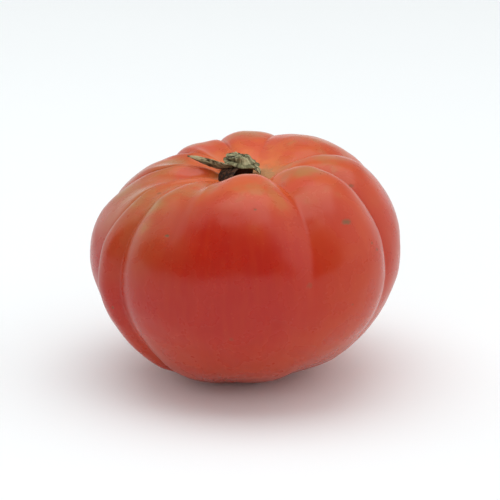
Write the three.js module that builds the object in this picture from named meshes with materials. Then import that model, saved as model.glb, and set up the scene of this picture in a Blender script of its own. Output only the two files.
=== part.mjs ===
// A ripe ribbed beefsteak tomato, as picked, standing on its blossom end.
// Millimetres, +Z up, front towards -Y. The origin is under the middle of the fruit,
// on the surface that it stands on.

import * as THREE from 'three';

// --- driving dimensions of the fruit ---------------------------------------

const RADIUS = 46;
const HEIGHT = 64.6;
// The plan is slightly oval: this share longer towards the azimuth, shorter across it.
const OVAL_SHARE = 0.033;
const OVAL_AZIMUTH = 23;
// The shoulders rise by these angles towards the right and the back; the base stays level.
const RISE_RIGHT = 0.8;
const RISE_BACK = 5.4;
// The fruit's own weight presses its underside flat by this much.
const REST_FLAT = 0.8;

// Outline of a lobe's crest from the floor of the stem cavity, over the shoulder and the
// widest belt, to the middle of the base: share of RADIUS, share of HEIGHT.
const CREST = [
  [0, 0.925],
  [0.085, 0.925],
  [0.19, 0.94],
  [0.33, 0.978],
  [0.52, 1],
  [0.74, 0.957],
  [0.95, 0.785],
  [1, 0.57],
  [0.905, 0.365],
  [0.685, 0.17],
  [0.41, 0.06],
  [0.2, 0],
  [0.1, 0],
  [0, 0],
];

// The lobes in order round the fruit. Each entry describes the groove at the lobe's start
// and the lobe itself:
//   from    azimuth of the groove in degrees, 0 at the front, 90 at the right
//   groove  depth of the groove
//   reach   share of the outline after which the groove has faded
//   lean    degrees that the groove drifts round on its way down
//   rim     share of the depth that is left where the groove crosses the cavity's rim
//   line    how far the groove's own line stands out at the belt
//   ridge   how far that line stands up at the shoulder
//   push    how far the lobe stands out at the belt
//   lift    how far it stands up at the shoulder
//   tuck    how far it draws in under the belt
const LOBES = [
  { from: -69, groove: 2.6, reach: 0.78, lean: -2, rim: 0.85, line: 0, ridge: -0.8, push: 3.0, lift: -2.7, tuck: 0.4 },
  { from: -54.5, groove: 1.9, reach: 0.66, lean: 2, rim: 0.7, line: 0.3, ridge: -1.2, push: 1.4, lift: -0.4, tuck: -0.5 },
  { from: -24, groove: 0.3, reach: 0.42, lean: 0, rim: 0.6, line: 1.2, ridge: 1.4, push: 0.9, lift: 4.4, tuck: 0.6 },
  { from: 26, groove: 1.8, reach: 0.62, lean: -6, rim: 0.45, line: 0.2, ridge: 0.6, push: 1.0, lift: 3.9, tuck: 2.1 },
  { from: 68, groove: 5.0, reach: 0.78, lean: -6, rim: 0.95, line: 0, ridge: 0, push: 0, lift: 1.3, tuck: -0.4 },
  { from: 112, groove: 2.4, reach: 0.8, lean: 0, rim: 0.95, line: 0, ridge: 0, push: 5.6, lift: 0.8, tuck: 0 },
  { from: 164, groove: 1.2, reach: 0.8, lean: 0, rim: 0.8, line: 0, ridge: 0, push: -0.5, lift: 0, tuck: 0 },
  { from: 195, groove: 4.0, reach: 0.8, lean: 0, rim: 0.65, line: 0, ridge: 0, push: -2.0, lift: -2.4, tuck: 0 },
  { from: 222, groove: 8.2, reach: 0.8, lean: 0, rim: 0.45, line: 0, ridge: 0, push: 0.6, lift: -4.2, tuck: 0 },
  { from: 253, groove: 8.2, reach: 0.8, lean: 0, rim: 0.5, line: 0, ridge: 0, push: 1.4, lift: -4.5, tuck: -0.5 },
];

// Fineness of the fruit's skin.
const SIDES_PER_LOBE = 10;
const FRUIT_RINGS = 40;

// --- driving dimensions of the dried stem ----------------------------------

// Middle of the hub, over the floor of the cavity.
const STEM_X = -1;
const STEM_Y = 1;
// The gap that touching pieces keep.
const GAP = 0.3;
const HUB_FOOT = 59.4;
const HUB_TOP = 64.3;
const HUB_RADIUS = 4.8;
const STUB_TOP = 66.5;
const STUB_RADIUS = 3.6;
const STUB_LEAN = 1.2;
const STEM_SIDES = 15;

const SEPAL_THICKNESS = 0.9;
const SEPAL_SIDES = 8;
const SEPAL_RINGS = 12;

// --- materials --------------------------------------------------------------

const skinMaterial = new THREE.MeshStandardMaterial({ color: 0xc0442c, roughness: 0.35, metalness: 0 });
const stubMaterial = new THREE.MeshStandardMaterial({ color: 0x8a8460, roughness: 0.85, metalness: 0 });
const hubMaterial = new THREE.MeshStandardMaterial({ color: 0x5c5238, roughness: 0.9, metalness: 0 });
const sepalMaterial = new THREE.MeshStandardMaterial({ color: 0x6f6a48, roughness: 0.85, metalness: 0 });
const curlMaterial = new THREE.MeshStandardMaterial({ color: 0x4a3020, roughness: 0.85, metalness: 0 });

// --- helpers ----------------------------------------------------------------

const { clamp, degToRad, euclideanModulo, lerp, smoothstep } = THREE.MathUtils;

// A closed body skinned over a stack of rings with equal numbers of points, with a single
// point closing each end. Each ring runs anticlockwise as seen from the start.
function closedSkin(start, rings, end) {
  const points = [start, ...rings.flat(), end];
  const sides = rings[0].length;
  const last = points.length - 1;
  const at = (ring, side) => 1 + ring * sides + (side % sides);
  const index = [];
  for (let side = 0; side < sides; side += 1) {
    index.push(0, at(0, side), at(0, side + 1));
    for (let ring = 0; ring < rings.length - 1; ring += 1) {
      index.push(at(ring, side), at(ring + 1, side), at(ring + 1, side + 1));
      index.push(at(ring, side), at(ring + 1, side + 1), at(ring, side + 1));
    }
    index.push(last, at(rings.length - 1, side + 1), at(rings.length - 1, side));
  }
  const geometry = new THREE.BufferGeometry().setFromPoints(points);
  geometry.setIndex(index);
  geometry.computeVertexNormals();
  return geometry;
}

function namedMesh(name, geometry, material) {
  const mesh = new THREE.Mesh(geometry, material);
  mesh.name = name;
  return mesh;
}

// --- fruit ------------------------------------------------------------------

const crestCurve = new THREE.SplineCurve(CREST.map(([r, z]) => new THREE.Vector2(r * RADIUS, z * HEIGHT)));

// Where a groove runs at a share of the outline.
function grooveAzimuth(lobe, share) {
  return lobe.from + lobe.lean * (share - 0.35) / 0.3;
}

// A groove deepens out of the cavity's floor, crosses the rim and fades towards the base.
function grooveDepth(lobe, share) {
  const start = smoothstep(share, 0.17, 0.33);
  const fade = 1 - smoothstep(share / lobe.reach, 0.36, 1);
  const rim = lerp(lobe.rim, 1, smoothstep(share, 0.27, 0.42));
  return lobe.groove * start * fade * rim;
}

// How far the skin stands off the crest outline: below it towards a groove, and above it
// where the lobe swells. across runs from 0 at the lobe's own groove to 1 at the next one.
function skinOffset(lobe, next, across, share) {
  const depth = lerp(grooveDepth(lobe, share), grooveDepth(next, share), smoothstep(across, 0, 1));
  const edge = Math.abs(2 * across - 1);
  const roundness = 0.62 + 0.9 * smoothstep(share, 0.3, 0.9);
  const bulge = (1 - edge ** 2.2) ** roundness;
  const mound = (1 - edge ** 2.6) ** 1.6;
  const belt = smoothstep(share, 0.36, 0.5) * (1 - smoothstep(share, 0.7, 0.92));
  const shoulder = smoothstep(share, 0.1, 0.3) * (1 - smoothstep(share, 0.34, 0.56));
  const foot = smoothstep(share, 0.56, 0.72) * (1 - smoothstep(share, 0.76, 0.92));
  const swell = lobe.push * belt + lobe.lift * shoulder - lobe.tuck * foot;
  const crossing = smoothstep(across, 0, 1);
  const line = lerp(lobe.line, next.line, crossing) * belt + lerp(lobe.ridge, next.ridge, crossing) * shoulder;
  return lerp(line, swell, mound) - depth * (1 - bulge);
}

// The skin part of the way across a lobe, at a share of the outline: 0 in the cavity and
// 1 under the fruit. The lines across = 0 follow the grooves down the fruit.
function skinPoint(lobe, next, across, share) {
  const step = 0.001;
  const crest = crestCurve.getPoint(share);
  const along = crestCurve.getPoint(clamp(share + step, 0, 1));
  along.sub(crestCurve.getPoint(clamp(share - step, 0, 1))).normalize();
  const offset = skinOffset(lobe, next, across, share);
  const start = grooveAzimuth(lobe, share);
  const width = euclideanModulo(grooveAzimuth(next, share) - start, 360);
  const turn = degToRad(start + across * width);
  const oval = 1 + OVAL_SHARE * Math.cos(2 * (turn - degToRad(OVAL_AZIMUTH)));
  const radius = Math.max(crest.x - offset * along.y, 0) * oval;
  const level = crest.y + offset * along.x;
  const x = radius * Math.sin(turn);
  const y = -radius * Math.cos(turn);
  const slope = x * Math.tan(degToRad(RISE_RIGHT)) + y * Math.tan(degToRad(RISE_BACK));
  const z = Math.max(level + slope * level / HEIGHT - REST_FLAT, 0);
  return new THREE.Vector3(x, y, z);
}

// One ring round the fruit, from groove to groove.
function skinRing(share) {
  const points = [];
  LOBES.forEach((lobe, k) => {
    const next = LOBES[(k + 1) % LOBES.length];
    for (let side = 0; side < SIDES_PER_LOBE; side += 1) {
      points.push(skinPoint(lobe, next, side / SIDES_PER_LOBE, share));
    }
  });
  return points;
}

function fruitGeometry() {
  const rings = [];
  for (let ring = 1; ring < FRUIT_RINGS; ring += 1) {
    rings.push(skinRing(ring / FRUIT_RINGS));
  }
  const geometry = closedSkin(skinRing(0)[0], rings, skinRing(1)[0]);
  geometry.computeBoundingBox();
  const middle = geometry.boundingBox.getCenter(new THREE.Vector3());
  geometry.translate(-middle.x, -middle.y, 0);
  return geometry;
}

// --- stem stub and hub --------------------------------------------------------

// A ridged, upright body round the stem's axis: each step is [radius, height, sideways shift].
// The first and last steps lie on the axis.
function ridgedBody(steps, ridges, ridgeShare) {
  const ringAt = ([radius, z, shift]) => {
    const points = [];
    for (let side = 0; side < STEM_SIDES; side += 1) {
      const turn = 2 * Math.PI * side / STEM_SIDES;
      const ridged = radius * (1 + ridgeShare * Math.cos(ridges * turn));
      points.push(new THREE.Vector3(shift + ridged * Math.cos(turn), ridged * Math.sin(turn), z));
    }
    return points;
  };
  const onAxis = ([, z, shift]) => new THREE.Vector3(shift, 0, z);
  const fromTop = steps.toReversed();
  return closedSkin(onAxis(fromTop[0]), fromTop.slice(1, -1).map(ringAt), onAxis(fromTop.at(-1)));
}

// The small disc that the sepals grow from, on its short neck.
function hubGeometry() {
  const neck = HUB_RADIUS * 0.54;
  const steps = [
    [0, HUB_FOOT, 0],
    [neck, HUB_FOOT, 0],
    [neck, HUB_TOP - 2.2, 0],
    [HUB_RADIUS * 0.95, HUB_TOP - 1.4, 0],
    [HUB_RADIUS, HUB_TOP - 0.7, 0],
    [HUB_RADIUS * 0.78, HUB_TOP, 0],
    [0, HUB_TOP, 0],
  ];
  return ridgedBody(steps, 5, 0.03);
}

// The knobby end of the stalk, snapped off where it swells.
function stubGeometry() {
  const foot = HUB_TOP + GAP;
  const steps = [
    [0, foot, 0],
    [STUB_RADIUS, foot, 0],
    [STUB_RADIUS * 0.92, foot + 0.5, -STUB_LEAN * 0.3],
    [STUB_RADIUS * 0.95, foot + 1, -STUB_LEAN * 0.7],
    [STUB_RADIUS, foot + 1.5, -STUB_LEAN],
    [STUB_RADIUS * 0.9, STUB_TOP, -STUB_LEAN],
    [0, STUB_TOP - 0.4, -STUB_LEAN],
  ];
  return ridgedBody(steps, 5, 0.05);
}

// --- sepals -------------------------------------------------------------------

// Each sepal's midrib starts beside the hub and ends at its tip, in millimetres. tilt turns
// the blade's upper side from straight up towards the front.
const SEPALS = [
  {
    name: 'sepal_left',
    midrib: [[-6.5, 1, 63.7], [-9.8, 2.4, 64], [-13.6, 4, 64.5], [-17.2, 5.4, 64.9]],
    width: 3.2,
    tilt: 45,
    material: sepalMaterial,
  },
  {
    name: 'sepal_right',
    midrib: [[4.3, -1.8, 62.9], [4.9, -2.2, 62], [4.9, -2.3, 61.1]],
    width: 2.6,
    tilt: 20,
    material: sepalMaterial,
  },
  {
    name: 'sepal_front_left',
    midrib: [[-5.3, -2.2, 62.8], [-6.8, -3.3, 61.8], [-7.6, -3.9, 60.3]],
    width: 2.4,
    tilt: 30,
    material: curlMaterial,
  },
  {
    name: 'sepal_back',
    midrib: [[-1.5, 6.5, 61.9], [-2.1, 8.2, 62.4], [-2.6, 10, 62.2]],
    width: 2.2,
    tilt: 0,
    material: sepalMaterial,
  },
  {
    name: 'sepal_back_left',
    midrib: [[-5.1, 5.1, 61.6], [-6.8, 6.6, 61.7], [-8.4, 8.2, 61.2]],
    width: 2.2,
    tilt: 0,
    material: curlMaterial,
  },
];

// A thin blade along its midrib: broad near the hub, drawn out to a tip.
function sepalGeometry({ midrib, width, tilt }) {
  const curve = new THREE.CatmullRomCurve3(midrib.map((point) => new THREE.Vector3(...point)));
  const lean = degToRad(tilt);
  const upper = new THREE.Vector3(0, -Math.sin(lean), Math.cos(lean));
  const rings = [];
  for (let ring = 0; ring < SEPAL_RINGS; ring += 1) {
    const share = ring / SEPAL_RINGS;
    const middle = curve.getPointAt(share);
    const along = curve.getTangentAt(share);
    const across = new THREE.Vector3().crossVectors(along, upper).normalize();
    const up = new THREE.Vector3().crossVectors(across, along);
    const taper = (1 - share ** 1.6) * (0.8 + 0.2 * Math.sin(Math.PI * share));
    const points = [];
    for (let side = 0; side < SEPAL_SIDES; side += 1) {
      const turn = 2 * Math.PI * side / SEPAL_SIDES;
      const point = middle.clone();
      point.addScaledVector(across, Math.cos(turn) * taper * width / 2);
      point.addScaledVector(up, Math.sin(turn) * taper * SEPAL_THICKNESS / 2);
      points.push(point);
    }
    rings.push(points);
  }
  return closedSkin(curve.getPointAt(0), rings, curve.getPointAt(1));
}

// --- the tomato -----------------------------------------------------------------

const tomato = new THREE.Group();
tomato.add(namedMesh('fruit', fruitGeometry(), skinMaterial));

const stem = new THREE.Group();
stem.position.set(STEM_X, STEM_Y, 0);
stem.add(namedMesh('calyx_hub', hubGeometry(), hubMaterial));
stem.add(namedMesh('stem_stub', stubGeometry(), stubMaterial));
tomato.add(stem);

for (const sepal of SEPALS) {
  tomato.add(namedMesh(sepal.name, sepalGeometry(sepal), sepal.material));
}

export default tomato;
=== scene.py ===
import math

import bpy
import numpy as np
from bpy.props import FloatProperty, FloatVectorProperty, IntProperty, PointerProperty
from mathutils import Matrix, Vector


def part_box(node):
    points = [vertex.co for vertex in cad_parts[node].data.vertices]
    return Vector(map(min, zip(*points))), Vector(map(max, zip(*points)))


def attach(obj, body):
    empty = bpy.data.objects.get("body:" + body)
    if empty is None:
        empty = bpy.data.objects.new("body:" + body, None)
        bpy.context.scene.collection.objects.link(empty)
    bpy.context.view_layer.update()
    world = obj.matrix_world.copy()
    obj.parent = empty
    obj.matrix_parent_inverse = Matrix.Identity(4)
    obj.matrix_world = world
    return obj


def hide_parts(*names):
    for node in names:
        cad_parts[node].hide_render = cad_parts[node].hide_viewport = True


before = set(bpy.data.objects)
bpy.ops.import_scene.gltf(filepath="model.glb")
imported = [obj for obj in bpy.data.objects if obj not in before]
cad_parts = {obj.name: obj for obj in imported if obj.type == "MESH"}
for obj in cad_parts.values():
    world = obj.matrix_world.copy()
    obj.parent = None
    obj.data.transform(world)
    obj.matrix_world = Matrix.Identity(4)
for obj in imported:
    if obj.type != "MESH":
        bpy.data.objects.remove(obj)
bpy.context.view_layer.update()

bl_info = {
    "name": "Ribbed beefsteak tomato",
    "version": (1, 0, 0),
    "blender": (4, 5, 0),
    "location": "3D View > Sidebar > Tomato",
    "description": "Models a ribbed beefsteak tomato with its dried stem, and a pale studio round it",
    "category": "Object",
}

MM = 0.001


# --- settings -----------------------------------------------------------------


class TOMATO_FruitSettings(bpy.types.PropertyGroup):
    radius: FloatProperty(
        name="Radius", description="Radius of the fruit at its belt, before the lobes swell",
        default=0.046, unit="LENGTH",
    )
    height: FloatProperty(
        name="Height", description="Height of the outline, from the base to the highest shoulder",
        default=0.0646, unit="LENGTH",
    )
    oval_share: FloatProperty(
        name="Oval", description="How much longer one way the plan is than round, as a share",
        default=0.033, subtype="FACTOR",
    )
    oval_azimuth: FloatProperty(
        name="Oval direction", description="Azimuth of the longer way",
        default=math.radians(23), subtype="ANGLE",
    )
    rise_right: FloatProperty(
        name="Rise to the right", description="Angle by which the shoulders rise to the right",
        default=math.radians(0.8), subtype="ANGLE",
    )
    rise_back: FloatProperty(
        name="Rise to the back", description="Angle by which the shoulders rise to the back",
        default=math.radians(5.4), subtype="ANGLE",
    )
    rest_flat: FloatProperty(
        name="Pressed flat", description="How much of the underside the fruit's own weight presses flat",
        default=0.0008, unit="LENGTH",
    )
    columns_per_lobe: IntProperty(
        name="Columns in a lobe", description="Faces across each lobe",
        default=34, min=6,
    )
    rings: IntProperty(
        name="Rings", description="Faces from the cavity to the blossom end",
        default=240, min=24,
    )
    waviness: FloatProperty(
        name="Waviness", description="Depth of the soft, uneven swellings of the skin",
        default=0.0007, unit="LENGTH",
    )
    ripe_red: FloatVectorProperty(
        name="Ripe red", description="Colour of the ripe flanks",
        default=(0.375, 0.009, 0.001), subtype="COLOR", size=3,
    )
    shoulder_orange: FloatVectorProperty(
        name="Shoulder orange", description="Colour of the paler shoulders",
        default=(0.585, 0.090, 0.011), subtype="COLOR", size=3,
    )
    cavity_salmon: FloatVectorProperty(
        name="Cavity salmon", description="Colour of the walls round the stem",
        default=(0.76, 0.190, 0.050), subtype="COLOR", size=3,
    )
    unripe_olive: FloatVectorProperty(
        name="Unripe olive", description="Colour of the greenish tints on the crests",
        default=(0.36, 0.19, 0.055), subtype="COLOR", size=3,
    )
    cork: FloatVectorProperty(
        name="Cork", description="Colour of the corky ring at the stem and of the blossom scar",
        default=(0.50, 0.27, 0.11), subtype="COLOR", size=3,
    )


class TOMATO_StemSettings(bpy.types.PropertyGroup):
    middle: FloatVectorProperty(
        name="Middle", description="Where the stem's axis stands",
        default=(-0.001, 0.001, 0.0), size=3, subtype="TRANSLATION",
    )
    hub_foot: FloatProperty(
        name="Hub foot", description="Height of the hub's foot",
        default=0.0592, unit="LENGTH",
    )
    hub_radius: FloatProperty(
        name="Hub radius", description="Radius of the disc that the sepals grow from",
        default=0.0049, unit="LENGTH",
    )
    hub_tilt: FloatProperty(
        name="Hub tilt", description="How far the disc dips to the right",
        default=math.radians(9), subtype="ANGLE",
    )
    stub_radius: FloatProperty(
        name="Stub radius", description="Radius of the knobby end of the stalk",
        default=0.0036, unit="LENGTH",
    )
    straw: FloatVectorProperty(
        name="Straw", description="Colour of the pale dried fibres",
        default=(0.46, 0.43, 0.25), subtype="COLOR", size=3,
    )
    olive: FloatVectorProperty(
        name="Dried olive", description="Main colour of the dried stalk and sepals",
        default=(0.150, 0.143, 0.072), subtype="COLOR", size=3,
    )
    # This colour is also the painted shade in the stub's pits, below the hub's rim and under the sepals.
    char_brown: FloatVectorProperty(
        name="Withered brown", description="Colour of the withered tips and of the pits",
        default=(0.018, 0.008, 0.004), subtype="COLOR", size=3,
    )


class TOMATO_StageSettings(bpy.types.PropertyGroup):
    floor_colour: FloatVectorProperty(
        name="Floor", description="Colour of the pale floor",
        default=(0.91, 0.945, 0.955), subtype="COLOR", size=3,
    )
    surround: FloatProperty(
        name="Surround", description="Brightness of the white tent round the object",
        default=1.08, min=0,
    )
    opening: FloatProperty(
        name="Opening", description="Brightness of the dim room seen through the tent's front opening",
        default=0.03, min=0,
    )
    room_light: FloatProperty(
        name="Room light", description="Share of the tent's light that comes in through the opening",
        default=0.45, min=0, max=1,
    )
    softbox_glow: FloatProperty(
        name="Softbox glow", description="Brightness of the softbox overhead",
        default=1.35, min=0,
    )
    softbox_width: FloatProperty(
        name="Softbox width", description="Width of the softbox from left to right",
        default=1.05, unit="LENGTH",
    )
    softbox_length: FloatProperty(
        name="Softbox length", description="Length of the softbox from front to back",
        default=0.80, unit="LENGTH",
    )
    left_panel: FloatProperty(
        name="Left panel", description="Brightness of the lit panel on the left",
        default=1.15, min=0,
    )
    right_panel: FloatProperty(
        name="Right panel", description="Brightness of the lit panel on the right",
        default=1.15, min=0,
    )
    fill_glow: FloatProperty(
        name="Fill glow", description="Brightness of the soft fill from the front",
        default=0.55, min=0,
    )
    eye_height: FloatProperty(
        name="Camera elevation", description="How far the camera looks down",
        default=math.radians(17.4), subtype="ANGLE",
    )
    eye_distance: FloatProperty(
        name="Camera distance", description="Distance from the middle of the fruit",
        default=0.65, unit="LENGTH",
    )


# --- node helpers ---------------------------------------------------------------


def add_node(tree, kind, **values):
    """A node with its properties and input values set: names with a capital are inputs."""
    node = tree.nodes.new(kind)
    for name, value in values.items():
        if name[0].isupper():
            node.inputs[name.replace("_", " ")].default_value = value
        else:
            setattr(node, name, value)
    return node


def value_of(source):
    """The socket to feed on: a node's first output, or the socket itself."""
    return source.outputs[0] if hasattr(source, "outputs") else source


def feed(tree, source, node, slot):
    """Links a source, or sets a plain value, into a node's input."""
    socket = node.inputs[slot]
    if isinstance(source, (int, float, tuple, list)):
        socket.default_value = source
    else:
        tree.links.new(value_of(source), socket)


def maths(tree, operation, first, second=0.0, clamp=False):
    node = add_node(tree, "ShaderNodeMath", operation=operation, use_clamp=clamp)
    feed(tree, first, node, 0)
    feed(tree, second, node, 1)
    return node.outputs[0]


def product(tree, first, *others):
    """The product of a mask and others."""
    for other in others:
        first = maths(tree, "MULTIPLY", first, other)
    return first


def add_share(tree, first, second, share):
    """The first value and a share of the second."""
    return maths(tree, "ADD", first, product(tree, second, share))


def wander(tree, share, pattern, amount):
    """A share of the outline that wanders up and down by an amount, so that its edge is uneven."""
    return add_share(tree, share, maths(tree, "SUBTRACT", pattern, 0.5), amount)


def ramp_up(tree, source, low, high, start=0.0, end=1.0):
    """A smooth step of the source from low to high."""
    node = add_node(tree, "ShaderNodeMapRange", interpolation_type="SMOOTHSTEP")
    feed(tree, source, node, "Value")
    for name, value in (("From Min", low), ("From Max", high), ("To Min", start), ("To Max", end)):
        node.inputs[name].default_value = value
    return node.outputs[0]


def blend(tree, share, first, second):
    """Mixes two colours by a share."""
    node = add_node(tree, "ShaderNodeMix", data_type="RGBA", clamp_factor=True)
    feed(tree, share, node, 0)
    for slot, source in ((6, first), (7, second)):
        if isinstance(source, (tuple, list)) or hasattr(source, "hsv"):
            node.inputs[slot].default_value = (*source[:3], 1.0)
        else:
            tree.links.new(value_of(source), node.inputs[slot])
    return node.outputs[2]


def noise(tree, place, scale, detail=2.0, roughness=0.5):
    node = add_node(tree, "ShaderNodeTexNoise", Scale=scale, Detail=detail, Roughness=roughness)
    tree.links.new(value_of(place), node.inputs["Vector"])
    return node.outputs["Fac"]


def colour(values):
    return (values[0], values[1], values[2], 1.0)


def start_group(name, inputs, outputs):
    """A shader node group with named sockets: each is (name, kind, default)."""
    tree = bpy.data.node_groups.new(name, "ShaderNodeTree")
    for socket_name, kind, default in inputs:
        socket = tree.interface.new_socket(name=socket_name, in_out="INPUT", socket_type=kind)
        if default is not None:
            socket.default_value = default
    for socket_name, kind in outputs:
        tree.interface.new_socket(name=socket_name, in_out="OUTPUT", socket_type=kind)
    return tree, tree.nodes.new("NodeGroupInput"), tree.nodes.new("NodeGroupOutput")


def place_group(tree, name, **values):
    node = tree.nodes.new("ShaderNodeGroup")
    node.node_tree = bpy.data.node_groups[name]
    for key, value in values.items():
        feed(tree, value, node, key.replace("_", " "))
    return node


def start_material(name, roughness):
    material = bpy.data.materials.new(name)
    material.use_nodes = True
    tree = material.node_tree
    shader = tree.nodes["Principled BSDF"]
    shader.inputs["Roughness"].default_value = roughness
    return material, tree, shader


# --- shared shader groups -----------------------------------------------------------


def build_blemish_group():
    """A small scar on the skin: 1 in its middle, with an uneven edge."""
    tree, start, end = start_group(
        "Blemish",
        [
            ("Middle", "NodeSocketVector", (0, 0, 0)),
            ("Stretch", "NodeSocketVector", (1, 1, 1)),
            ("Size", "NodeSocketFloat", 0.001),
            ("Edge scale", "NodeSocketFloat", 1500.0),
        ],
        [("Mask", "NodeSocketFloat")],
    )
    place = add_node(tree, "ShaderNodeTexCoord").outputs["Object"]
    away = add_node(tree, "ShaderNodeVectorMath", operation="SUBTRACT")
    feed(tree, place, away, 0)
    feed(tree, start.outputs["Middle"], away, 1)
    shaped = add_node(tree, "ShaderNodeVectorMath", operation="MULTIPLY")
    feed(tree, away, shaped, 0)
    feed(tree, start.outputs["Stretch"], shaped, 1)
    length = add_node(tree, "ShaderNodeVectorMath", operation="LENGTH")
    feed(tree, shaped, length, 0)
    share = maths(tree, "DIVIDE", length.outputs["Value"], start.outputs["Size"])
    edge = add_node(tree, "ShaderNodeTexNoise", Detail=2.0)
    feed(tree, place, edge, "Vector")
    feed(tree, start.outputs["Edge scale"], edge, "Scale")
    ragged = wander(tree, share, edge, 0.9)
    feed(tree, ramp_up(tree, ragged, 1.0, 0.25), end, "Mask")


def build_dry_fibre_group():
    """Dried plant fibre: streaks along the grain, dark creases and dust."""
    tree, start, end = start_group(
        "Dry fibre",
        [
            ("Grain", "NodeSocketVector", None),
            ("Main", "NodeSocketColor", (0.2, 0.2, 0.1, 1)),
            ("Pale", "NodeSocketColor", (0.5, 0.5, 0.3, 1)),
            ("Dark", "NodeSocketColor", (0.03, 0.02, 0.01, 1)),
            ("Streak scale", "NodeSocketFloat", 900.0),
            ("Paleness", "NodeSocketFloat", 0.5),
            ("Darkness", "NodeSocketFloat", 0.5),
        ],
        [("Color", "NodeSocketColor"), ("Roughness", "NodeSocketFloat"), ("Height", "NodeSocketFloat")],
    )
    place = add_node(tree, "ShaderNodeTexCoord").outputs["Object"]
    streaks = add_node(tree, "ShaderNodeTexNoise", Detail=3.0, Roughness=0.6)
    feed(tree, start.outputs["Grain"], streaks, "Vector")
    feed(tree, start.outputs["Streak scale"], streaks, "Scale")
    fibre = streaks.outputs["Fac"]
    patches = noise(tree, place, 420, 3, 0.6)
    specks = noise(tree, place, 2100, 2, 0.5)
    pale = ramp_up(tree, add_share(tree, fibre, patches, 0.25), 0.58, 0.74)
    pale = product(tree, pale, start.outputs["Paleness"])
    dark = ramp_up(tree, add_share(tree, fibre, patches, 0.5), 0.70, 0.54)
    dark = product(tree, dark, start.outputs["Darkness"])
    shade = blend(tree, pale, start.outputs["Main"], start.outputs["Pale"])
    shade = blend(tree, dark, shade, start.outputs["Dark"])
    shade = blend(tree, ramp_up(tree, specks, 0.66, 0.8, 0, 0.6), shade, start.outputs["Dark"])
    tree.links.new(shade, end.inputs["Color"])
    feed(tree, ramp_up(tree, patches, 0.3, 0.7, 0.7, 0.92), end, "Roughness")
    feed(tree, add_share(tree, fibre, specks, 0.35), end, "Height")


# --- skin -----------------------------------------------------------------------

BRIGHT_RED = (0.42, 0.011, 0.003)
BLOTCH_PINK = (0.60, 0.050, 0.024)
GROOVE_RED = (0.42, 0.020, 0.010)
PALE_DOT = (0.80, 0.30, 0.12)
SCAR_BROWN = (0.13, 0.085, 0.035)
CORK_BROWN = (0.28, 0.14, 0.05)

# Small scars on the skin: azimuth and share down the outline, size in millimetres, how
# much longer than wide it lies round the fruit, and how strong it is. The places of ten of
# them, and of some of the tints below, were worked out by a program.
SCARS = [
    (41, 0.424, 1.0, 2.2, 0.75),
    (72, 0.376, 0.8, 1.5, 0.55),
    (48, 0.464, 0.6, 1.2, 0.5),
    (51, 0.476, 0.6, 1.2, 0.5),
    (38, 0.544, 0.5, 1.0, 0.4),
    (21, 0.500, 1.0, 1.3, 0.25),
    (-33, 0.434, 0.45, 2.4, 0.8),
    (-57, 0.576, 0.9, 0.6, 0.6),
    (3, 0.389, 0.4, 1.8, 0.6),
    (-6, 0.586, 0.8, 1.2, 0.3),
    (140, 0.42, 1.0, 1.8, 0.6),
    (185, 0.55, 0.8, 1.0, 0.5),
    (232, 0.47, 0.9, 1.4, 0.5),
    (300, 0.36, 0.8, 1.2, 0.5),
]

# Broad greenish tints near the crests, given in the same way.
TINTS = [
    (-50, 0.395, 6.5, 0.7, 0.70),
    (-46, 0.430, 5.0, 0.7, 0.45),
    (-65, 0.405, 5.0, 0.7, 0.50),
    (267, 0.420, 6.0, 0.8, 0.50),
    (241, 0.320, 5.0, 1.4, 0.45),
    (44, 0.305, 3.6, 1.9, 0.60),
    (176, 0.375, 4.0, 2.0, 0.55),
    (148, 0.385, 3.0, 1.8, 0.40),
    (212, 0.370, 3.4, 1.6, 0.45),
    (181, 0.314, 4.0, 1.8, 0.50),
    (96, 0.330, 5.0, 1.4, 0.35),
    (142, 0.350, 6.0, 1.2, 0.40),
    (210, 0.380, 5.0, 0.8, 0.40),
]


def add_blemishes(tree, blemishes, places, edge_scale):
    """The strongest of several blemishes at each point of the skin."""
    strongest = None
    for (_, _, size, long, strength), middle in zip(blemishes, places):
        spot = place_group(
            tree, "Blemish", Middle=tuple(middle), Stretch=(1 / long, 1 / long, 1.0),
            Size=size * MM, Edge_scale=edge_scale,
        )
        mask = product(tree, spot, strength)
        strongest = mask if strongest is None else maths(tree, "MAXIMUM", strongest, mask)
    return strongest


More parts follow.
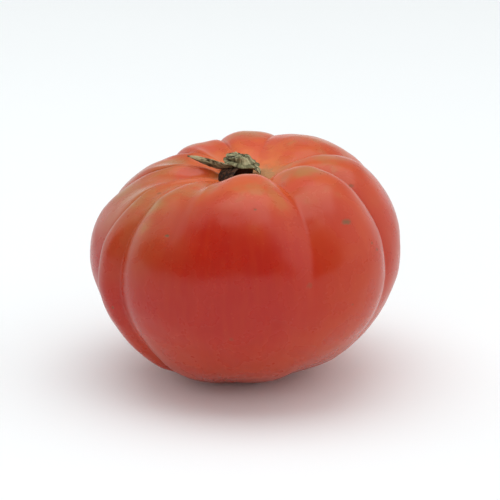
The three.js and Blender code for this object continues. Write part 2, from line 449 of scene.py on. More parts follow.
def build_skin_material(settings, scar_places, tint_places):
    material, tree, shader = start_material("Glossy tomato skin", 0.3)
    place = add_node(tree, "ShaderNodeTexCoord").outputs["Object"]
    share = add_node(tree, "ShaderNodeAttribute", attribute_name="share").outputs["Fac"]
    groove = add_node(tree, "ShaderNodeAttribute", attribute_name="groove").outputs["Fac"]
    grain = add_node(tree, "ShaderNodeAttribute", attribute_name="grain").outputs["Vector"]

    broad = noise(tree, place, 38, 2, 0.5)
    patchy = noise(tree, place, 130, 3, 0.55)
    fine = noise(tree, place, 900, 3, 0.6)
    streaks = noise(tree, grain, 26, 3, 0.6)
    rough_share = wander(tree, share, broad, 0.16)

    shoulder = ramp_up(tree, rough_share, 0.455, 0.31)
    cavity = ramp_up(tree, rough_share, 0.30, 0.13)
    skin = blend(tree, shoulder, tuple(settings.ripe_red), tuple(settings.shoulder_orange))
    skin = blend(tree, cavity, skin, tuple(settings.cavity_salmon))

    # The left shoulders ripened last and keep a brownish, olive cast; the cast is also painted shade,
    # darker where less light falls, as the light comes from the right.
    split = add_node(tree, "ShaderNodeSeparateXYZ")
    feed(tree, place, split, "Vector")
    left = ramp_up(tree, split.outputs["X"], -0.008, -0.040)
    left_olive_and_shade = product(tree, left, ramp_up(tree, rough_share, 0.56, 0.36), 0.6)
    skin = blend(tree, left_olive_and_shade, skin, tuple(settings.unripe_olive))

    # Painted light: the right side is a little more orange, lighter where the light falls from the right.
    # The foot is a little more orange.
    orange = tuple(settings.shoulder_orange)
    skin = blend(tree, product(tree, ramp_up(tree, split.outputs["X"], 0.004, 0.036), 0.34), skin, orange)
    skin = blend(tree, ramp_up(tree, rough_share, 0.54, 0.70, 0, 0.32), skin, orange)

    # Greenish tints in patches along the crests.
    tint = add_blemishes(tree, TINTS, tint_places, 260.0)
    tint = product(tree, tint, ramp_up(tree, patchy, 0.25, 0.6, 0.45, 1.0))
    skin = blend(tree, tint, skin, tuple(settings.unripe_olive))

    # Uneven ripening: faint lengthwise streaks and mottling.
    skin = blend(tree, ramp_up(tree, streaks, 0.35, 0.75, 0, 0.09), skin, orange)
    skin = blend(tree, ramp_up(tree, patchy, 0.60, 0.40, 0, 0.22), skin, BRIGHT_RED)
    blotches = noise(tree, place, 75, 3, 0.6)
    high = ramp_up(tree, rough_share, 0.44, 0.33)
    pink = product(tree, ramp_up(tree, blotches, 0.52, 0.64), product(tree, high, 0.45))
    skin = blend(tree, pink, skin, BLOTCH_PINK)
    green = product(tree, ramp_up(tree, blotches, 0.48, 0.36), product(tree, high, 0.34))
    skin = blend(tree, green, skin, tuple(settings.unripe_olive))
    skin = blend(tree, product(tree, groove, 0.35), skin, GROOVE_RED)

    # Pale pin-prick dots under the skin.
    dots = add_node(tree, "ShaderNodeTexVoronoi", Scale=430.0, Randomness=1.0)
    feed(tree, place, dots, "Vector")
    pricks = ramp_up(tree, dots.outputs["Distance"], 0.15, 0.07)
    skin = blend(tree, product(tree, pricks, 0.06), skin, PALE_DOT)

    # Scars.
    scars = add_blemishes(tree, SCARS, scar_places, 1500.0)
    skin = blend(tree, scars, skin, SCAR_BROWN)

    # The corky ring in the cavity and the blossom scar under the fruit.
    cork_edge = wander(tree, share, noise(tree, place, 420, 3, 0.6), 0.09)
    cork_edge = maths(tree, "SUBTRACT", cork_edge, product(tree, split.outputs["X"], 4.0))
    ring = ramp_up(tree, cork_edge, 0.145, 0.095)
    blossom = ramp_up(tree, wander(tree, share, noise(tree, place, 700, 3, 0.6), 0.05), 0.93, 0.96)
    cork = maths(tree, "MAXIMUM", ring, blossom)
    cork_shade = blend(tree, noise(tree, place, 1500, 3, 0.6), tuple(settings.cork), CORK_BROWN)
    skin = blend(tree, product(tree, cork, 0.85), skin, cork_shade)
    tree.links.new(skin, shader.inputs["Base Color"])

    gloss = ramp_up(tree, patchy, 0.3, 0.7, 0.25, 0.31)
    dull = product(tree, maths(tree, "MAXIMUM", cork, scars), 0.4)
    gloss = maths(tree, "ADD", gloss, dull, clamp=True)
    feed(tree, gloss, shader, "Roughness")

    relief = add_share(tree, product(tree, fine, 0.012), noise(tree, place, 150, 0), 0.16)
    relief = add_share(tree, relief, product(tree, cork, noise(tree, place, 1300, 3, 0.7)), 1.6)
    relief = maths(tree, "SUBTRACT", relief, product(tree, scars, 0.5))
    bump = add_node(tree, "ShaderNodeBump", Strength=0.6, Distance=0.00022)
    feed(tree, relief, bump, "Height")
    tree.links.new(bump.outputs["Normal"], shader.inputs["Normal"])

    shader.inputs["IOR"].default_value = 1.40
    shader.inputs["Coat Weight"].default_value = 0.05
    shader.inputs["Coat Roughness"].default_value = 0.22
    return material


def build_dry_material(name, main, pale, dark, streak_scale, paleness, darkness, relief):
    material, tree, shader = start_material(name, 0.85)
    grain = add_node(tree, "ShaderNodeAttribute", attribute_name="grain").outputs["Vector"]
    fibre = place_group(
        tree, "Dry fibre", Grain=grain, Main=colour(main), Pale=colour(pale), Dark=colour(dark),
        Streak_scale=streak_scale, Paleness=paleness, Darkness=darkness,
    )
    # Painted shade: this attribute darkens the pits of the stub, the hub below its rim and the undersides
    # of the sepals to the dark colour.
    withered_and_shade = add_node(tree, "ShaderNodeAttribute", attribute_name="withered_and_shade").outputs["Fac"]
    tree.links.new(blend(tree, withered_and_shade, fibre.outputs["Color"], tuple(dark)), shader.inputs["Base Color"])
    tree.links.new(fibre.outputs["Roughness"], shader.inputs["Roughness"])
    bump = add_node(tree, "ShaderNodeBump", Strength=0.8, Distance=relief)
    feed(tree, fibre.outputs["Height"], bump, "Height")
    tree.links.new(bump.outputs["Normal"], shader.inputs["Normal"])
    shader.inputs["Specular IOR Level"].default_value = 0.25
    return material


# --- modelling helpers ------------------------------------------------------------


def deselect_all():
    if bpy.context.object is not None and bpy.context.object.mode != "OBJECT":
        bpy.ops.object.mode_set(mode="OBJECT")
    bpy.ops.object.select_all(action="DESELECT")


def finish_piece(piece, node, material):
    """Gives a finished piece its finish, and hands it to the frame in place of its CAD node."""
    deselect_all()
    piece.select_set(True)
    bpy.context.view_layer.objects.active = piece
    bpy.ops.object.transform_apply(location=True, rotation=True, scale=True)
    piece.data.materials.clear()
    piece.data.materials.append(material)
    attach(piece, "root")
    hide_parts(node)


def add_modifier(piece, kind, **values):
    """Adds a modifier, sets it and applies it."""
    modifier = piece.modifiers.new(kind.title(), kind)
    for name, value in values.items():
        setattr(modifier, name, value)
    bpy.context.view_layer.objects.active = piece
    bpy.ops.object.modifier_apply(modifier=modifier.name)


def subdivide(piece, levels):
    add_modifier(piece, "SUBSURF", levels=levels, render_levels=levels)


def roughen(piece, name, feature, depth):
    """Pushes the surface in and out by a soft pattern of a given feature size."""
    texture = bpy.data.textures.new(name, "CLOUDS")
    texture.noise_scale = feature
    add_modifier(piece, "DISPLACE", texture=texture, texture_coords="LOCAL", strength=depth, mid_level=0.5)
    bpy.data.textures.remove(texture)


def set_points(mesh, points):
    mesh.vertices.foreach_set("co", np.ascontiguousarray(points, np.float32).ravel())
    mesh.update()


def get_points(mesh):
    points = np.zeros(len(mesh.vertices) * 3, np.float32)
    mesh.vertices.foreach_get("co", points)
    return points.reshape(-1, 3).astype(float)


def set_attribute(mesh, name, values, kind="FLOAT"):
    attribute = mesh.attributes.new(name, kind, "POINT")
    field = "vector" if kind == "FLOAT_VECTOR" else "value"
    attribute.data.foreach_set(field, np.ascontiguousarray(values, np.float32).ravel())


def smoothstep(value, low, high):
    t = np.clip((np.asarray(value, float) - low) / (high - low), 0, 1)
    return t * t * (3 - 2 * t)


def lerp(a, b, t):
    return a + (b - a) * t


# --- fruit ------------------------------------------------------------------------

# Outline of a lobe's crest from the floor of the cavity to the middle of the base: share
# of the radius, share of the height. It is the same outline as the CAD fruit's. Its numbers,
# and those of most columns of LOBES, were found by a fitting program and rounded.
CREST = [
    (0, 0.925), (0.085, 0.925), (0.19, 0.94), (0.33, 0.978), (0.52, 1), (0.74, 0.957), (0.95, 0.785),
    (1, 0.57), (0.905, 0.365), (0.685, 0.17), (0.41, 0.06), (0.2, 0), (0.1, 0), (0, 0),
]

# The lobes in order round the fruit, in degrees and millimetres: where the groove at the
# lobe's start runs, its depth, the share after which it has faded, how far it drifts round,
# how much of it crosses the rim and how far its line stands out at the belt and at the
# shoulder; then how far the lobe pushes out, lifts at the shoulder and tucks in at the foot.
LOBE_FACTS = (
    "groove_at", "groove", "reach", "lean", "rim", "line", "ridge", "push", "lift", "tuck",
)
LOBES = [
    (-69, 2.6, 0.78, -2, 0.85, 0, -0.8, 3.0, -2.7, 0.4),
    (-54.5, 1.9, 0.66, 2, 0.7, 0.3, -1.2, 1.4, -0.4, -0.5),
    (-24, 0.3, 0.42, 0, 0.6, 1.2, 1.4, 0.9, 4.4, 0.6),
    (26, 1.8, 0.62, -6, 0.45, 0.2, 0.6, 1.0, 3.9, 2.1),
    (68, 5.0, 0.78, -6, 0.95, 0, 0, 0, 1.3, -0.4),
    (112, 2.4, 0.8, 0, 0.95, 0, 0, 5.6, 0.8, 0),
    (164, 1.2, 0.8, 0, 0.8, 0, 0, -0.5, 0, 0),
    (195, 4.0, 0.8, 0, 0.65, 0, 0, -2.0, -2.4, 0),
    (222, 8.2, 0.8, 0, 0.45, 0, 0, 0.6, -4.2, 0),
    (253, 8.2, 0.8, 0, 0.5, 0, 0, 1.4, -4.5, -0.5),
]


# How closely the skin's box meets the CAD fruit's, the height of the corky ring and of the
# dimple at the blossom scar, and the depth in millimetres that counts as a full groove.
CAD_MATCH = 0.0006
CORK_RING_HEIGHT = 0.0007
BLOSSOM_DIMPLE = 0.0012
FULL_GROOVE = 3.0


def crest_point(share, radius, height):
    """A point of the crest outline, on the smooth curve through its given points."""
    given = np.array(CREST) * (radius, height)
    last = len(given) - 1
    at = np.clip(share, 0, 1) * last
    first = np.floor(at).astype(int)
    t = (at - first)[..., None]
    p0 = given[np.maximum(first - 1, 0)]
    p1 = given[np.minimum(first, last)]
    p2 = given[np.minimum(first + 1, last)]
    p3 = given[np.minimum(first + 2, last)]
    v0, v1 = (p2 - p0) / 2, (p3 - p1) / 2
    return (2 * p1 - 2 * p2 + v0 + v1) * t**3 + (3 * p2 - 3 * p1 - 2 * v0 - v1) * t**2 + v0 * t + p1


def skin_points(settings, lobe_index, across, share):
    """Places on the lobed skin, with how deep each lies in its groove and its azimuth."""
    facts = {name: np.array([lobe[k] for lobe in LOBES], float) for k, name in enumerate(LOBE_FACTS)}
    this = {name: values[lobe_index] for name, values in facts.items()}
    following = {name: values[(lobe_index + 1) % len(LOBES)] for name, values in facts.items()}

    def groove_azimuth(lobe):
        return lobe["groove_at"] + lobe["lean"] * (share - 0.35) / 0.3

    def groove_depth(lobe):
        start = smoothstep(share, 0.17, 0.33)
        fade = 1 - smoothstep(share / lobe["reach"], 0.36, 1)
        rim = lerp(lobe["rim"], 1, smoothstep(share, 0.27, 0.42))
        return lobe["groove"] * start * fade * rim

    crossing = smoothstep(across, 0, 1)
    depth = lerp(groove_depth(this), groove_depth(following), crossing)
    edge = np.abs(2 * across - 1)
    roundness = 0.62 + 0.9 * smoothstep(share, 0.3, 0.9)
    bulge = (1 - edge**2.2) ** roundness
    mound = (1 - edge**2.6) ** 1.6
    belt = smoothstep(share, 0.36, 0.5) * (1 - smoothstep(share, 0.7, 0.92))
    shoulder = smoothstep(share, 0.1, 0.3) * (1 - smoothstep(share, 0.34, 0.56))
    foot = smoothstep(share, 0.56, 0.72) * (1 - smoothstep(share, 0.76, 0.92))
    swell = this["push"] * belt + this["lift"] * shoulder - this["tuck"] * foot
    line = lerp(this["line"], following["line"], crossing) * belt
    line += lerp(this["ridge"], following["ridge"], crossing) * shoulder
    in_groove = depth * (1 - bulge)
    offset = (lerp(line, swell, mound) - in_groove) * MM

    crest = crest_point(share, settings.radius, settings.height)
    along = crest_point(share + 0.001, settings.radius, settings.height)
    along = along - crest_point(share - 0.001, settings.radius, settings.height)
    along /= np.linalg.norm(along, axis=1)[:, None]
    start = groove_azimuth(this)
    width = np.mod(groove_azimuth(following) - start, 360)
    turn = np.radians(start + across * width)
    oval = 1 + settings.oval_share * np.cos(2 * (turn - settings.oval_azimuth))
    radius = np.maximum(crest[:, 0] - offset * along[:, 1], 0) * oval
    level = crest[:, 1] + offset * along[:, 0]
    x, y = radius * np.sin(turn), -radius * np.cos(turn)
    slope = x * math.tan(settings.rise_right) + y * math.tan(settings.rise_back)
    z = np.maximum(level + slope * level / settings.height - settings.rest_flat, 0)
    return np.stack([x, y, z], 1), in_groove, turn


class TOMATO_OT_fruit(bpy.types.Operator):
    """Model the lobed fruit with its glossy skin"""

    bl_idname = "tomato.fruit"
    bl_label = "Fruit"

    def execute(self, context):
        settings = context.scene.tomato_fruit
        columns = len(LOBES) * settings.columns_per_lobe
        deselect_all()
        bpy.ops.mesh.primitive_uv_sphere_add(
            segments=columns, ring_count=settings.rings, radius=settings.radius)
        fruit = context.object
        fruit.name = fruit.data.name = "Fruit"

        # A column of the sphere becomes a line down a lobe, and a ring a step down the outline.
        ball = get_points(fruit.data)
        share = np.arccos(np.clip(ball[:, 2] / settings.radius, -1, 1)) / math.pi
        share = np.round(share * settings.rings) / settings.rings
        way_round = np.mod(np.arctan2(ball[:, 1], ball[:, 0]) / (2 * math.pi), 1)
        column = np.round(way_round * columns).astype(int) % columns
        lobe_index, step = np.divmod(column, settings.columns_per_lobe)
        across = step / settings.columns_per_lobe
        points, in_groove, turn = skin_points(settings, lobe_index, across, share)
        low, high = points.min(0), points.max(0)
        middle = (low + high) / 2
        points[:, :2] -= middle[:2]
        set_points(fruit.data, points)

        cad_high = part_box("fruit")[1]
        if max(abs(high[2] - cad_high.z), abs(high[0] - middle[0] - cad_high.x)) > CAD_MATCH:
            raise RuntimeError("the skin doesn't lie on the CAD fruit")

        bpy.ops.object.mode_set(mode="EDIT")
        bpy.ops.mesh.select_all(action="SELECT")
        bpy.ops.mesh.normals_make_consistent(inside=False)
        bpy.ops.object.mode_set(mode="OBJECT")

        roughen(fruit, "Swellings", 0.014, settings.waviness)
        roughen(fruit, "Dimples", 0.005, settings.waviness * 0.10)
        wavy = get_points(fruit.data)
        foot = smoothstep(share, 0.80, 0.72)
        wavy = lerp(points, wavy, foot[:, None])
        wavy[:, 2] = np.maximum(wavy[:, 2], 0)
        # The corky ring stands up round the stem, and the blossom scar is a small dimple.
        cork_ring = smoothstep(share, 0.02, 0.075) * (1 - smoothstep(share, 0.10, 0.155))
        knobs = 1 + 0.35 * np.sin(9 * turn) + 0.2 * np.sin(23 * turn + 1)
        wavy[:, 2] += cork_ring * CORK_RING_HEIGHT * knobs
        wavy[:, 2] += smoothstep(share, 0.93, 1.0) * BLOSSOM_DIMPLE
        set_points(fruit.data, wavy)
        bpy.ops.object.shade_smooth()

        set_attribute(fruit.data, "share", share)
        shown = smoothstep(share, 0.08, 0.25)
        set_attribute(fruit.data, "groove", np.clip(in_groove / FULL_GROOVE, 0, 1) * shown)
        grain = np.stack([np.cos(turn), np.sin(turn), share * 0.55], 1)
        set_attribute(fruit.data, "grain", grain, "FLOAT_VECTOR")

        def place_on_skin(blemish):
            round_off = np.abs(np.mod(turn - math.radians(blemish[0]) + math.pi, 2 * math.pi) - math.pi)
            return wavy[np.argmin(round_off + 4 * np.abs(share - blemish[1]))]

        scar_places = [place_on_skin(scar) for scar in SCARS]
        tint_places = [place_on_skin(tint) for tint in TINTS]
        skin = build_skin_material(settings, scar_places, tint_places)
        finish_piece(fruit, "fruit", skin)
        return {"FINISHED"}


# --- dried stem -----------------------------------------------------------------


def extrude_ring(shift, scale, middle):
    """Extrudes the selected ring by a shift and scales it about its own middle."""
    bpy.ops.mesh.extrude_region_move(TRANSFORM_OT_translate={"value": shift})
    centre = Vector(middle) + Vector(shift)
    if scale != 1:
        bpy.ops.transform.resize(value=(scale, scale, scale), center_override=centre)
    return centre


def ring_body(name, sides, steps, middle):
    """A body drawn up from a ring: each step is radius, height and sideways shift, all in
    millimetres. The ring at the top stays selected, in edit mode."""
    deselect_all()
    radius, height, shift = steps[0]
    centre = Vector(middle) + Vector((shift, 0, height)) * MM
    bpy.ops.mesh.primitive_circle_add(vertices=sides, radius=radius * MM, fill_type="NGON", location=centre)
    piece = bpy.context.object
    piece.name = piece.data.name = name
    bpy.ops.object.transform_apply(location=True)
    bpy.ops.object.mode_set(mode="EDIT")
    bpy.ops.mesh.select_mode(type="FACE")
    bpy.ops.mesh.select_all(action="SELECT")
    for before, after in zip(steps, steps[1:]):
        move = Vector((after[2] - before[2], 0, after[1] - before[1])) * MM
        centre = extrude_ring(move, after[0] / before[0], centre)
    return piece


def close_body():
    """Leaves edit mode with all faces of the body pointing outwards."""
    bpy.ops.mesh.select_all(action="SELECT")
    bpy.ops.mesh.normals_make_consistent(inside=False)
    bpy.ops.object.mode_set(mode="OBJECT")
    bpy.ops.object.shade_smooth()


def upright_grain(piece, middle):
    """Grain that runs up a body standing round an axis."""
    points = get_points(piece.data) - np.array(middle)
    turn = np.arctan2(points[:, 1], points[:, 0])
    along = points[:, 2] * 0.22 + np.hypot(points[:, 0], points[:, 1]) * 0.25
    grain = np.stack([np.cos(turn) * 0.004, np.sin(turn) * 0.004, along], 1)
    set_attribute(piece.data, "grain", grain, "FLOAT_VECTOR")


class TOMATO_OT_stem_stub(bpy.types.Operator):
    """Model the knobby end of the stalk, snapped off where it swells"""

    bl_idname = "tomato.stem_stub"
    bl_label = "Stem stub"

    def execute(self, context):
        settings = context.scene.tomato_stem
        radius = settings.stub_radius / MM
        stub = ring_body("Stem_stub", 20, [
            (radius * 1.14, 63.6, 0.6), (radius * 1.04, 64.2, 0.3), (radius * 0.93, 64.7, -0.1),
            (radius * 0.96, 65.2, -0.6), (radius * 0.99, 65.7, -1.0), (radius * 0.90, 66.1, -1.2),
        ], settings.middle)
        # The broken top: a ring of pits round a rough core.
        bpy.ops.mesh.inset(thickness=0.0009, depth=0.0)
        bpy.ops.mesh.inset(thickness=0.0006, depth=-0.0004)
        bpy.ops.mesh.inset(thickness=0.0005, depth=0.0003)
        bpy.ops.mesh.select_all(action="DESELECT")
        bpy.ops.object.mode_set(mode="OBJECT")
        top = max(vertex.co.z for vertex in stub.data.vertices)
        for face in stub.data.polygons:
            middle = face.center - Vector(settings.middle)
            out = math.hypot(middle.x + 0.0013, middle.y)
            on_top = len(face.vertices) == 4 and face.normal.z > 0.7 and middle.z > top - 0.0012
            face.select = on_top and 0.0020 < out < 0.0034 and face.index % 3 != 0
        bpy.ops.object.mode_set(mode="EDIT")
        bpy.ops.mesh.inset(thickness=0.00016, depth=-0.0007, use_individual=True)
        close_body()
        points = get_points(stub.data)
        turn = np.arctan2(points[:, 1] - settings.middle[1], points[:, 0] - settings.middle[0])
        high = smoothstep(points[:, 2], 0.0642, 0.0662)
        points[:, 2] += high * (0.00035 * np.sin(3 * turn + 0.6) + 0.0002 * np.sin(7 * turn))
        ridges = 1 + 0.06 * np.sin(5 * turn + 0.4)
        middle = np.array(settings.middle)
        points[:, :2] = (points[:, :2] - middle[:2]) * ridges[:, None] + middle[:2]
        set_points(stub.data, points)
        subdivide(stub, 3)
        self.paint_pit_shade(stub, settings)
        roughen(stub, "Knobs", 0.0016, 0.0005)
        roughen(stub, "Rough bark", 0.0006, 0.00028)
        upright_grain(stub, settings.middle)
        finish_piece(stub, "stem_stub", build_dry_material(
            "Dried stalk", settings.olive, settings.straw, settings.char_brown, 1100.0, 0.75, 0.85, 0.0003))
        return {"FINISHED"}

    def paint_pit_shade(self, stub, settings):
        """Marks the pits and the hollow of the broken top with painted shade."""
        points = get_points(stub.data)
        out = np.hypot(points[:, 0] - settings.middle[0] + 0.0012, points[:, 1] - settings.middle[1])
        rim = points[:, 2][out > 0.0026].max()
        inside = smoothstep(out, 0.0034, 0.0029)
        sunk = smoothstep(rim - points[:, 2], 0.0003, 0.0009)
        set_attribute(stub.data, "withered_and_shade", inside * sunk * 0.8)


class TOMATO_OT_calyx_hub(bpy.types.Operator):
    """Model the small disc that the sepals grow from"""

    bl_idname = "tomato.calyx_hub"
    bl_label = "Calyx hub"

    def execute(self, context):
        settings = context.scene.tomato_stem
        radius = settings.hub_radius / MM
        foot = settings.hub_foot / MM
        hub = ring_body("Calyx_hub", 30, [
            (radius * 0.66, foot, 0.0), (radius * 0.70, foot + 1.2, 0.0),
            (radius * 0.72, foot + 3.2, 0.0), (radius * 0.84, foot + 3.9, 0.0),
            (radius * 1.06, foot + 4.2, 0.0), (radius * 1.08, foot + 4.6, 0.0),
            (radius * 0.86, foot + 5.0, 0.0), (radius * 0.62, foot + 5.2, 0.0),
        ], settings.middle)
        bpy.ops.mesh.inset(thickness=0.0010, depth=0.0)
        close_body()
        # Five shallow scallops between the sepals, and a dip to the right.
        points = get_points(hub.data) - np.array(settings.middle)
        turn = np.arctan2(points[:, 1], points[:, 0])
        out = np.hypot(points[:, 0], points[:, 1])
        high = smoothstep(points[:, 2], 0.0618, 0.0631)
        scallop = 1 + high * (0.07 * np.cos(5 * (turn - 2.8)) + 0.03 * np.sin(11 * turn))
        points[:, :2] *= scallop[:, None]
        wave = 0.0003 * np.cos(5 * (turn - 2.8)) * out / settings.hub_radius
        points[:, 2] += high * (wave - points[:, 0] * math.tan(settings.hub_tilt))
        set_points(hub.data, points + np.array(settings.middle))
        subdivide(hub, 3)
        points = get_points(hub.data)
        # Painted shadow: the neck and the underside below the disc's rim are darkened, where the disc
        # shades them.
        level = points[:, 2] + (points[:, 0] - settings.middle[0]) * math.tan(settings.hub_tilt)
        set_attribute(hub.data, "withered_and_shade", smoothstep(level, 0.0636, 0.0632))
        roughen(hub, "Wrinkles", 0.0014, 0.0004)
        roughen(hub, "Rough skin", 0.0005, 0.0003)
        upright_grain(hub, settings.middle)
        finish_piece(hub, "calyx_hub", build_dry_material(
            "Dried calyx", settings.olive, settings.straw, settings.char_brown, 1000.0, 0.55, 0.9, 0.0003))
        return {"FINISHED"}


# The sepals: CAD node, record slot, azimuth in degrees from the right towards the back, and
# stations along the blade, in millimetres from the stem's axis: how far out, sideways,
# height, width, thickness, twist in degrees, and how deep the keel folds.
SEPALS = [
    ("sepal_left", "dried_sepal", 162.8, [
        (0.8, 2.8, 63.4, 4.2, 1.1, 14, 0.3),
        (3.0, 2.3, 63.2, 5.2, 1.1, 24, 0.5),
        (5.0, 1.7, 63.1, 5.3, 1.0, 34, 0.8),
        (7.4, 0.9, 63.1, 4.7, 0.9, 44, 1.0),
        (9.8, 0.4, 63.4, 3.7, 0.8, 52, 1.0),
        (12.2, 0.2, 63.9, 2.4, 0.7, 58, 0.7),
        (14.4, 0.1, 64.3, 1.3, 0.5, 62, 0.4),
        (16.6, 0.1, 64.6, 0.4, 0.3, 70, 0.1),
    ]),
    ("sepal_right", "dried_sepal", -28, [
        (2.6, 0.0, 63.2, 4.0, 0.9, 0, 0.2),
        (4.2, 0.0, 63.2, 3.8, 0.8, -4, 0.4),
        (5.4, 0.1, 62.6, 3.0, 0.7, -8, 0.5),
        (6.0, 0.2, 61.8, 2.0, 0.6, -12, 0.3),
        (6.1, 0.3, 61.2, 0.7, 0.4, -16, 0.0),
    ]),
    ("sepal_front_left", "withered_sepal", 220, [
        (2.6, 0.2, 63.3, 4.8, 0.9, 0, 0.2),
        (4.4, 0.6, 63.1, 6.4, 0.9, 4, 0.4),
        (5.8, 0.9, 62.3, 7.2, 0.9, 8, 0.6),
        (6.8, 1.0, 61.1, 7.0, 0.8, 12, 0.8),
        (7.3, 1.0, 59.9, 5.8, 0.8, 16, 0.6),
        (7.5, 1.0, 59.1, 3.4, 0.6, 20, 0.2),
    ]),
    ("sepal_back", "dried_sepal", 95, [
        (3.0, 0.0, 62.0, 3.2, 0.9, 0, 0.3),
        (5.2, 0.1, 62.3, 2.8, 0.8, 10, 0.6),
        (7.2, 0.2, 62.6, 2.0, 0.7, 25, 0.6),
        (8.8, 0.3, 62.6, 1.2, 0.6, 40, 0.3),
        (9.8, 0.4, 62.5, 0.5, 0.35, 50, 0.0),
    ]),
    ("sepal_back_left", "withered_sepal", 135, [
        (3.2, 0.0, 61.8, 3.2, 0.9, 0, 0.3),
        (5.4, -0.1, 61.9, 2.8, 0.8, -15, 0.6),
        (7.4, -0.2, 61.8, 2.1, 0.7, -30, 0.6),
        (9.2, -0.3, 61.4, 1.2, 0.6, -50, 0.3),
        (10.4, -0.4, 61.2, 0.5, 0.35, -60, 0.0),
    ]),
]
BLADE_SIDES = 16
WITHERED_DARK = (0.014, 0.006, 0.003)
WITHERED_PALE = (0.15, 0.060, 0.024)


def blade_ring(station):
    """The outline of a blade's section: flattened, with its middle folded down as a keel."""
    out, aside, height, width, thickness, twist, keel = station
    corners = []
    for side in range(BLADE_SIDES):
        turn = 2 * math.pi * side / BLADE_SIDES
        y = math.cos(turn) * width / 2
        z = math.sin(turn) * thickness / 2 - keel * (1 - min(abs(2 * y / width), 1) ** 1.3)
        c, s = math.cos(math.radians(twist)), math.sin(math.radians(twist))
        corners.append(Vector((out, aside + y * c - z * s, height + y * s + z * c)) * MM)
    return corners


def draw_blade(name, stations):
    """Draws a blade out of one section, station by station, along the right-hand axis."""
    deselect_all()
    bpy.ops.mesh.primitive_circle_add(vertices=BLADE_SIDES, radius=0.001, fill_type="NGON")
    blade = bpy.context.object
    blade.name = blade.data.name = name
    bpy.ops.object.mode_set(mode="EDIT")
    bpy.ops.mesh.select_mode(type="FACE")
    bpy.ops.mesh.select_all(action="SELECT")
    for _ in stations[1:]:
        bpy.ops.mesh.extrude_region_move(TRANSFORM_OT_translate={"value": (0, 0, 0.001)})
    bpy.ops.object.mode_set(mode="OBJECT")
    points = get_points(blade.data)
    level = np.round(points[:, 2] / 0.001).astype(int)
    turn = np.arctan2(points[:, 1], points[:, 0]) / (2 * math.pi)
    side = np.mod(np.round(turn * BLADE_SIDES), BLADE_SIDES).astype(int)
    rings = [blade_ring(station) for station in stations]
    set_points(blade.data, np.array([rings[ring][corner] for ring, corner in zip(level, side)]))
    bpy.ops.object.mode_set(mode="EDIT")
    close_body()
    return blade


class TOMATO_OT_sepals(bpy.types.Operator):
    """Model the five dried sepals, each drawn out, keeled and twisted"""

    bl_idname = "tomato.sepals"
    bl_label = "Sepals"

    def execute(self, context):
        settings = context.scene.tomato_stem
        dried = build_dry_material(
            "Dried sepal", settings.olive, settings.straw, settings.char_brown, 1500.0, 1.0, 0.9, 0.0004)
        withered_and_shade = build_dry_material(
            "Withered sepal", WITHERED_DARK, WITHERED_PALE, settings.char_brown, 1500.0, 0.55, 0.9, 0.0003)
        for node, slot, azimuth, stations in SEPALS:
            blade = draw_blade(node.capitalize(), stations)
            subdivide(blade, 3)
            points = get_points(blade.data)
            set_attribute(blade.data, "grain", points * (0.07, 1.0, 1.0), "FLOAT_VECTOR")
            # Painted shade: the downward-facing sides of each blade are darkened.
            normals = np.zeros(len(points) * 3, np.float32)
            blade.data.vertices.foreach_get("normal", normals)
            under = smoothstep(normals.reshape(-1, 3)[:, 2], 0.05, -0.5)
            set_attribute(blade.data, "withered_and_shade", under * 0.6)
            roughen(blade, "Puckers", 0.0018, 0.00035)
            roughen(blade, "Fine wrinkles", 0.0006, 0.00022)
            turned = Matrix.Rotation(math.radians(azimuth), 4, "Z")
            blade.data.transform(Matrix.Translation(Vector(settings.middle)) @ turned)
            finish_piece(blade, node, dried if slot == "dried_sepal" else withered_and_shade)
        return {"FINISHED"}


# --- stage ----------------------------------------------------------------------

FLOOR_SHADE = (0.895, 0.93, 0.94)
# What the camera looks at, in metres, its lens in millimetres and the lens's shift.
AIM = (0, 0, 0.033)
LENS = 158.7
LENS_SHIFT = (0.0108, 0.0294)
# The side of the tent's opening, and how bright the tent is on the right and behind,
# as shares of its brightness on the left.
OPENING_SIDE = (-0.42, -0.907, 0)
RIGHT_SHARE = 1.16
BACKDROP_SHARE = 0.48
SOFTBOX_PLACE = (-0.06, 0.04, 1.0)
FILL_PLACE = (-0.1, -0.95, 0.45)
FILL_AIM = (0, 0, 0.03)
FILL_WIDTH = 1.4
FILL_HEIGHT = 0.8


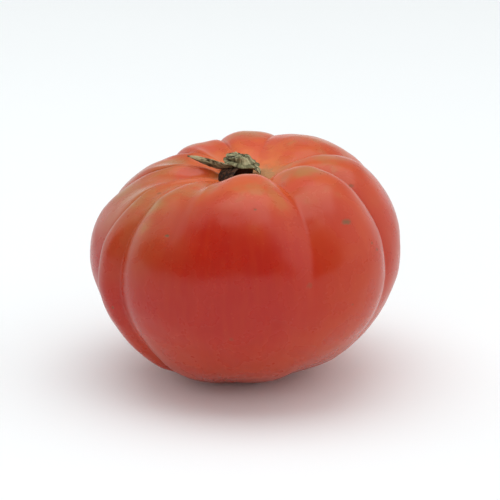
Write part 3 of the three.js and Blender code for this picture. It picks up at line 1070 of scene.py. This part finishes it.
class TOMATO_OT_stage(bpy.types.Operator):
    """Set up the pale floor, the soft light and the camera"""

    bl_idname = "tomato.stage"
    bl_label = "Stage"

    def execute(self, context):
        settings = context.scene.tomato_stage
        deselect_all()
        bpy.ops.mesh.primitive_plane_add(size=8.0, location=(0, 0, -0.0001))
        floor = context.object
        floor.name = "Floor"
        material, tree, shader = start_material("Pale table", 0.6)
        place = add_node(tree, "ShaderNodeTexCoord").outputs["Object"]
        shade = blend(tree, noise(tree, place, 6, 3), colour(settings.floor_colour), FLOOR_SHADE)
        tree.links.new(shade, shader.inputs["Base Color"])
        shader.inputs["Specular IOR Level"].default_value = 0.25
        floor.data.materials.append(material)

        self.build_tent(context, settings)
        self.build_lights(context, settings)

        back = Vector((0, -math.cos(settings.eye_height), math.sin(settings.eye_height)))
        bpy.ops.object.camera_add(location=Vector(AIM) + back * settings.eye_distance)
        eye = context.object
        eye.name = "Eye"
        eye.rotation_euler = back.to_track_quat("Z", "Y").to_euler()
        eye.data.sensor_width = 36.0
        eye.data.lens = LENS
        eye.data.shift_x, eye.data.shift_y = LENS_SHIFT
        eye.data.clip_start = 0.01
        context.scene.camera = eye
        context.scene.view_settings.view_transform = "Standard"
        return {"FINISHED"}

    def build_tent(self, context, settings):
        """White all round, with the dim opening that the object is seen through."""
        world = bpy.data.worlds.new("Tent")
        context.scene.world = world
        world.use_nodes = True
        tree = world.node_tree
        toward = add_node(tree, "ShaderNodeTexCoord").outputs["Generated"]
        front = add_node(tree, "ShaderNodeVectorMath", operation="DOT_PRODUCT")
        feed(tree, toward, front, 0)
        front.inputs[1].default_value = OPENING_SIDE
        height = add_node(tree, "ShaderNodeSeparateXYZ")
        feed(tree, toward, height, "Vector")
        level = height.outputs["Z"]
        opening = product(
            tree, ramp_up(tree, front.outputs["Value"], -0.02, 0.46),
            ramp_up(tree, level, 0.02, 0.16), ramp_up(tree, level, 0.955, 0.90),
        )
        # Matt surfaces see part of the room's own light through the opening.
        seen = add_node(tree, "ShaderNodeLightPath")
        kept = ramp_up(tree, seen.outputs["Is Diffuse Ray"], 0, 1, 1, 1 - settings.room_light)
        opening = product(tree, opening, kept)
        dim = add_node(tree, "ShaderNodeMix", data_type="RGBA")
        feed(tree, opening, dim, 0)
        sideways = ramp_up(tree, height.outputs["X"], -0.9, 0.9)
        tent = add_node(tree, "ShaderNodeMix", data_type="RGBA")
        feed(tree, sideways, tent, 0)
        tent.inputs[6].default_value = (settings.surround,) * 3 + (1,)
        tent.inputs[7].default_value = (settings.surround * RIGHT_SHARE,) * 3 + (1,)
        # The backdrop behind the object dims above the height of the table's edge.
        backdrop = ramp_up(tree, height.outputs["Y"], 0.10, 0.70)
        backdrop = product(tree, backdrop, ramp_up(tree, level, 0.02, 0.25))
        lit = blend(tree, backdrop, tent.outputs[2], (settings.surround * BACKDROP_SHARE,) * 3)
        # A tall lit panel stands on each side, a little behind the object.
        low = product(tree, ramp_up(tree, level, -0.10, 0.0), ramp_up(tree, level, 0.70, 0.45))
        for side, glow in ((-1, settings.left_panel), (1, settings.right_panel)):
            panel = add_node(tree, "ShaderNodeVectorMath", operation="DOT_PRODUCT")
            feed(tree, toward, panel, 0)
            panel.inputs[1].default_value = (0.90 * side, 0.44, 0)
            beside = product(tree, ramp_up(tree, panel.outputs["Value"], 0.72, 0.92), low)
            lit = blend(tree, beside, lit, (glow,) * 3)
        tree.links.new(lit, dim.inputs[6])
        dim.inputs[7].default_value = (settings.opening,) * 3 + (1,)
        glow = tree.nodes["Background"]
        tree.links.new(dim.outputs[2], glow.inputs["Color"])
        plain = add_node(tree, "ShaderNodeBackground", Color=(1, 1, 1, 1), Strength=1.0)
        either = tree.nodes.new("ShaderNodeMixShader")
        tree.links.new(seen.outputs["Is Camera Ray"], either.inputs[0])
        tree.links.new(glow.outputs[0], either.inputs[1])
        tree.links.new(plain.outputs[0], either.inputs[2])
        tree.links.new(either.outputs[0], tree.nodes["World Output"].inputs["Surface"])

    def build_lights(self, context, settings):
        """One large softbox overhead, and a soft fill in front that reflections don't show."""
        bpy.ops.object.light_add(type="AREA", location=SOFTBOX_PLACE)
        box = context.object
        box.name = "Softbox"
        box.data.shape = "RECTANGLE"
        box.data.size, box.data.size_y = settings.softbox_width, settings.softbox_length
        box.data.energy = settings.softbox_glow * math.pi * settings.softbox_width * settings.softbox_length
        bpy.ops.object.light_add(type="AREA", location=FILL_PLACE)
        fill = context.object
        fill.name = "Front_fill"
        fill.data.shape = "RECTANGLE"
        fill.data.size, fill.data.size_y = FILL_WIDTH, FILL_HEIGHT
        fill.data.energy = settings.fill_glow * math.pi * FILL_WIDTH * FILL_HEIGHT
        fill.rotation_euler = (fill.location - Vector(FILL_AIM)).to_track_quat("Z", "Y").to_euler()
        fill.visible_glossy = False


# --- panel and registration ---------------------------------------------------------


class TOMATO_PT_panel(bpy.types.Panel):
    """Buttons that build the tomato and its stage"""

    bl_idname = "TOMATO_PT_panel"
    bl_label = "Tomato"
    bl_space_type = "VIEW_3D"
    bl_region_type = "UI"
    bl_category = "Tomato"

    def draw(self, context):
        for operator in OPERATORS:
            self.layout.operator(operator.bl_idname)


SETTINGS = {
    "tomato_fruit": TOMATO_FruitSettings,
    "tomato_stem": TOMATO_StemSettings,
    "tomato_stage": TOMATO_StageSettings,
}
OPERATORS = [TOMATO_OT_fruit, TOMATO_OT_stem_stub, TOMATO_OT_calyx_hub, TOMATO_OT_sepals, TOMATO_OT_stage]


def register():
    for cls in [*SETTINGS.values(), *OPERATORS, TOMATO_PT_panel]:
        bpy.utils.register_class(cls)
    for name, cls in SETTINGS.items():
        setattr(bpy.types.Scene, name, PointerProperty(type=cls))


def unregister():
    for name in SETTINGS:
        delattr(bpy.types.Scene, name)
    for cls in reversed([*SETTINGS.values(), *OPERATORS, TOMATO_PT_panel]):
        bpy.utils.unregister_class(cls)


def main():
    register()
    build_blemish_group()
    build_dry_fibre_group()
    bpy.ops.tomato.fruit()
    bpy.ops.tomato.stem_stub()
    bpy.ops.tomato.calyx_hub()
    bpy.ops.tomato.sepals()
    bpy.ops.tomato.stage()
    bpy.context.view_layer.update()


if __name__ == "__main__":
    main()
